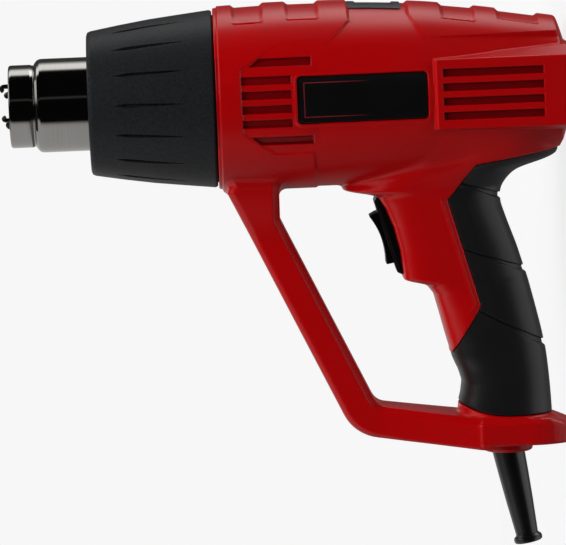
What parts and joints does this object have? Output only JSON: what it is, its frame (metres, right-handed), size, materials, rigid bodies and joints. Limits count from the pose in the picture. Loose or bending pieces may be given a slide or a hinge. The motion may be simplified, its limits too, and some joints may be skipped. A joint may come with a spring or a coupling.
{
  "type": "hot air tool",
  "caption": "Pistol-shaped corded hot air tool: chromed outlet tube, black heat collar, red two-part housing, soft grip, closed hand loop and rocker switch; stands on its flat back.",
  "frame": {"origin": "middle of the footprint on the plane that the tool stands on, its flat back and the heel of its handle", "axes": "+Z runs along the barrel to the outlet, which points up when the tool is set down; +X is the top of the tool as it is held; +Y is its right-hand side"},
  "size_m": [0.2342, 0.078, 0.2394],
  "materials": {
    "red_housing": "satin moulded, fine texture",
    "black_collar": "matte, fine grain",
    "chromed_tube": "polished",
    "soft_grip": "soft touch, matte",
    "gloss_plate": "gloss black, bare",
    "grey_plate": "satin",
    "black_switch": "satin",
    "steel": "plain",
    "mica": "matte",
    "resistance_wire": "drawn wire",
    "brass": "plain",
    "board": "lacquered",
    "cream_plastic": "plain"
  },
  "bodies": {
    "tool": {"housing_left": "red_housing", "housing_right": "red_housing", "front_collar": "black_collar", "outlet_tube": "chromed_tube", "mica_sleeve": "mica", "heater_core": "mica", "heating_coil": "resistance_wire", "heater_rod_1": "steel", "heater_rod_2": "steel", "heater_rod_3": "steel", "heater_rod_4": "steel", "air_guide": "cream_plastic", "thermal_cutout": "black_collar", "motor_can": "steel", "motor_end_cap": "black_collar", "rectifier_board": "board", "top_plate": "grey_plate", "side_label_left": "gloss_plate", "side_label_right": "gloss_plate", "grip_left": "soft_grip", "grip_right": "soft_grip", "switch_body": "black_switch", "switch_terminal_1": "brass", "switch_terminal_2": "brass", "switch_terminal_3": "brass", "strain_relief": "soft_grip", "cable_clamp": "cream_plastic", "clamp_screw_1": "steel", "clamp_screw_2": "steel", "terminal_block": "cream_plastic", "screw_top_front": "steel", "screw_top_rear": "steel", "screw_low_rear": "steel", "screw_loop_stem": "steel", "screw_handle_upper": "steel", "screw_handle_lower": "steel", "screw_loop_corner": "steel", "screw_base": "steel"},
    "rocker": {"switch_rocker": "black_switch"},
    "contact": {"switch_contact": "brass"},
    "rotor": {"fan_impeller": "black_collar", "motor_shaft": "steel"}
  },
  "joints": [
    {"name": "rocker_tilt", "type": "hinge", "parent": "tool", "child": "rocker", "pos_m": [0.01738, 0, 0.0748], "axis": [0, 1, 0], "range_deg": [-12, 12]},
    {"name": "contact_tilt", "type": "hinge", "parent": "tool", "child": "contact", "pos_m": [0.01948, 0, 0.06854], "axis": [0, 1, 0], "range_deg": [-6.5, 6.5]},
    {"name": "fan_spin", "type": "hinge", "parent": "tool", "child": "rotor", "pos_m": [0.07728, 0, 0.0702], "axis": [0, 0, 1], "continuous": true}
  ],
  "couplings": [
    {"joint": "contact_tilt", "follows": "rocker_tilt", "ratio": -0.5}
  ]
}
